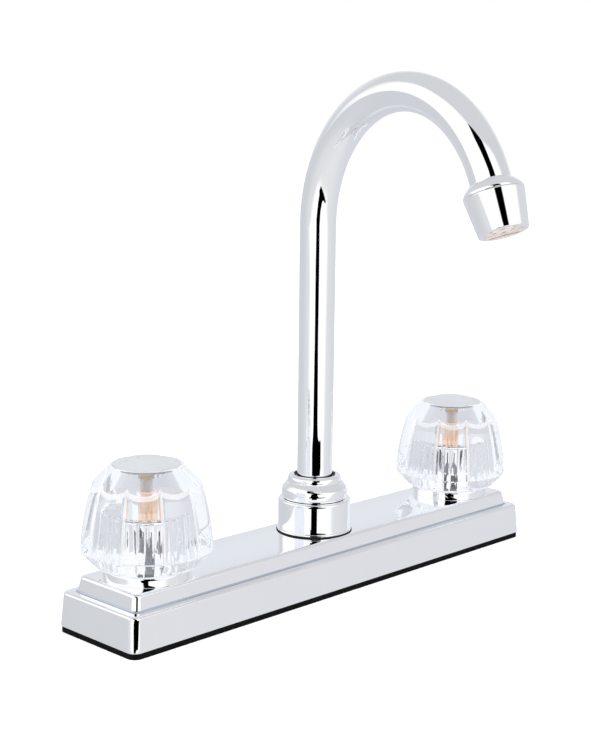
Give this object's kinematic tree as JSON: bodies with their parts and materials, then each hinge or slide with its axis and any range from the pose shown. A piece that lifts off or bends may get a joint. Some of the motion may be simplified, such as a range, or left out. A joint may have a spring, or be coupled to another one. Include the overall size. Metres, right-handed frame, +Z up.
{
  "type": "kitchen mixer tap",
  "caption": "Deck-mounted kitchen mixer tap: stepped chrome deck plate, clear fluted knobs over ceramic cartridges, and a swivelling gooseneck spout with an aerator.",
  "frame": {"origin": "centre of the gasket's underside, on the deck plane, midway between the two handle axes", "axes": "+X along the deck plate to the user's right, -Y to the front where the user stands, +Z up"},
  "size_m": [0.26, 0.1567, 0.2848],
  "materials": {
    "chrome_plate": "polished chrome plate on brass",
    "clear_acrylic": "clear moulded acrylic",
    "frosted_cap": "frosted grey-white",
    "brass": "machined brass",
    "brass_screw": "warm brass",
    "steel": "plain steel",
    "rubber": "black rubber",
    "foam_gasket": "black foam",
    "ceramic": "polished alumina",
    "white_plastic": "moulded plastic",
    "cream_plastic": "moulded plastic"
  },
  "bodies": {
    "base": {"escutcheon": "chrome_plate", "deck_gasket": "foam_gasket", "spout_boss": "brass", "hub_sleeve": "chrome_plate", "spout_nut": "chrome_plate", "valve_body_left": "brass", "cross_tube_left": "brass", "bonnet_left": "chrome_plate", "cartridge_shell_left": "white_plastic", "seat_seal_left": "rubber", "fixed_disc_left": "ceramic", "deck_washer_left": "steel", "lock_nut_left": "brass", "valve_body_right": "brass", "cross_tube_right": "brass", "bonnet_right": "chrome_plate", "cartridge_shell_right": "white_plastic", "seat_seal_right": "rubber", "fixed_disc_right": "ceramic", "deck_washer_right": "steel", "lock_nut_right": "brass"},
    "left_handle": {"moving_disc_left": "ceramic", "stem_left": "brass", "stem_ring_left": "rubber", "knob_left": "clear_acrylic", "index_cap_left": "frosted_cap", "handle_screw_left": "brass_screw"},
    "right_handle": {"moving_disc_right": "ceramic", "stem_right": "brass", "stem_ring_right": "rubber", "knob_right": "clear_acrylic", "index_cap_right": "frosted_cap", "handle_screw_right": "brass_screw"},
    "spout": {"spout_tube": "chrome_plate", "spout_collar": "brass", "spout_rings": "rubber", "swivel_washer": "white_plastic", "outlet_collar": "chrome_plate", "aerator_housing": "chrome_plate", "aerator_washer": "rubber", "aerator_screen": "steel", "aerator_insert": "cream_plastic"}
  },
  "joints": [
    {"name": "left_handle_turn", "type": "hinge", "parent": "base", "child": "left_handle", "pos_m": [-0.1016, 0, 0], "axis": [0, 0, 1], "range_deg": [0, 90]},
    {"name": "right_handle_turn", "type": "hinge", "parent": "base", "child": "right_handle", "pos_m": [0.1016, 0, 0], "axis": [0, 0, 1], "range_deg": [-90, 0]},
    {"name": "spout_swing", "type": "hinge", "parent": "base", "child": "spout", "pos_m": [0, 0, 0], "axis": [0, 0, 1], "continuous": true}
  ]
}
